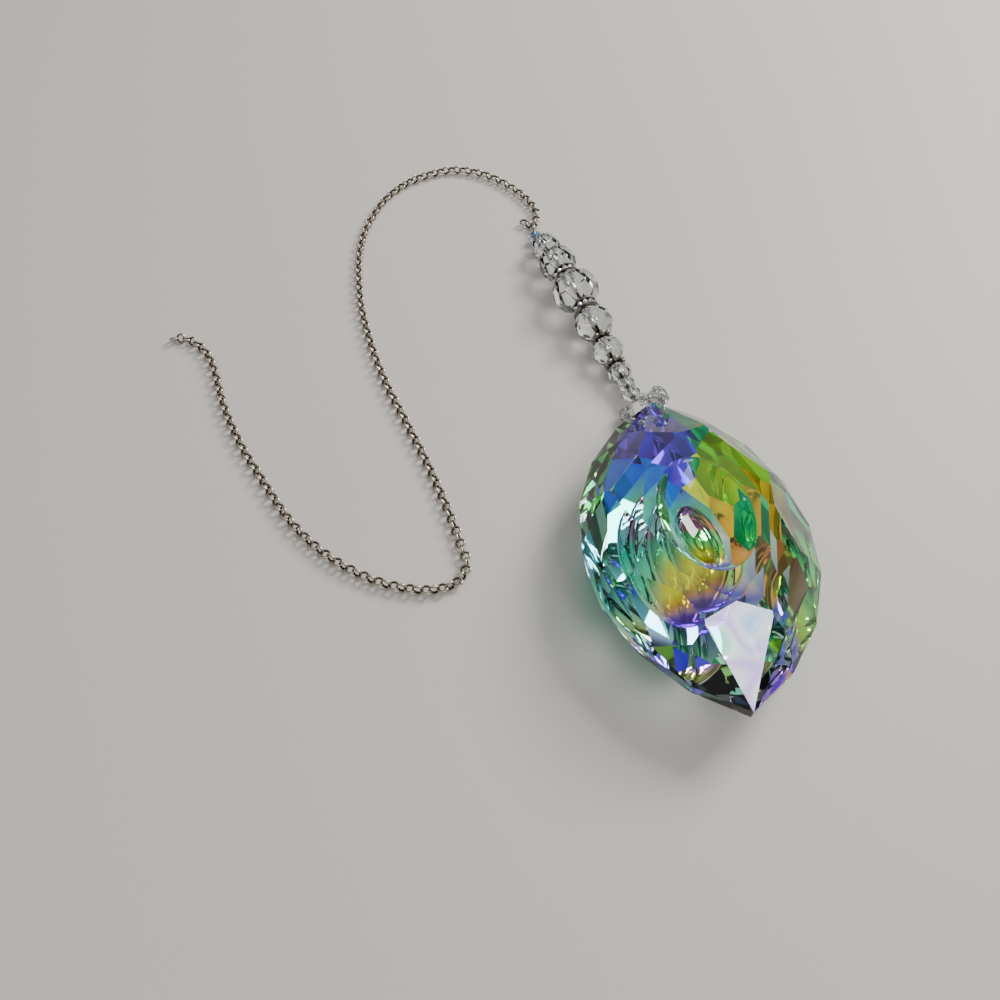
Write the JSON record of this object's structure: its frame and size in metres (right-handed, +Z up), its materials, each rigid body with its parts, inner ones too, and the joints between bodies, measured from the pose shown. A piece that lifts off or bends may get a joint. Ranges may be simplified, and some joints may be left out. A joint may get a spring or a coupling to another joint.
{
  "type": "crystal suncatcher",
  "caption": "Almond-shaped cut crystal with dished faces, on a wire strand of clear beads and small metal spacers with a fine rolo chain, lying on a table.",
  "frame": {"origin": "middle of the layout's bounding box, on the table it lies on", "axes": "+X across the layout, +Y along its length from the crystal towards the bead strand and the top of the chain's arc, +Z up from the table"},
  "size_m": [0.1505, 0.1816, 0.022],
  "materials": {
    "aurora_crystal": "polished, with a rainbow aurora coating on the back",
    "clear_glass": "polished",
    "aurora_glass": "polished, aurora coated",
    "antique_silver": "antiqued",
    "nickel_wire": "satin",
    "antique_nickel_chain": "antiqued"
  },
  "bodies": {
    "root": {"cut_crystal": "aurora_crystal", "aurora_bead": "aurora_glass", "daisy_spacer_top": "antique_silver", "bead_1_round_8mm": "clear_glass", "bead_2_round_10mm": "clear_glass", "rhinestone_rondelle_upper": "antique_silver", "bead_3_round_12mm": "clear_glass", "rhinestone_rondelle_lower": "antique_silver", "bead_4_oval_10mm": "clear_glass", "daisy_spacer_middle": "antique_silver", "bead_5_oval_8mm": "clear_glass", "daisy_spacer_lower": "antique_silver", "bead_6_oval_6mm": "clear_glass", "bead_7_small": "clear_glass", "bead_8_small": "clear_glass", "loop_bead_over_1": "clear_glass", "loop_bead_over_2": "clear_glass", "loop_bead_over_3": "clear_glass", "loop_bead_over_4": "clear_glass", "loop_bead_under_1": "clear_glass", "loop_bead_under_2": "clear_glass", "loop_bead_under_3": "clear_glass", "beading_wire": "nickel_wire", "rolo_chain": "antique_nickel_chain"}
  },
  "joints": []
}
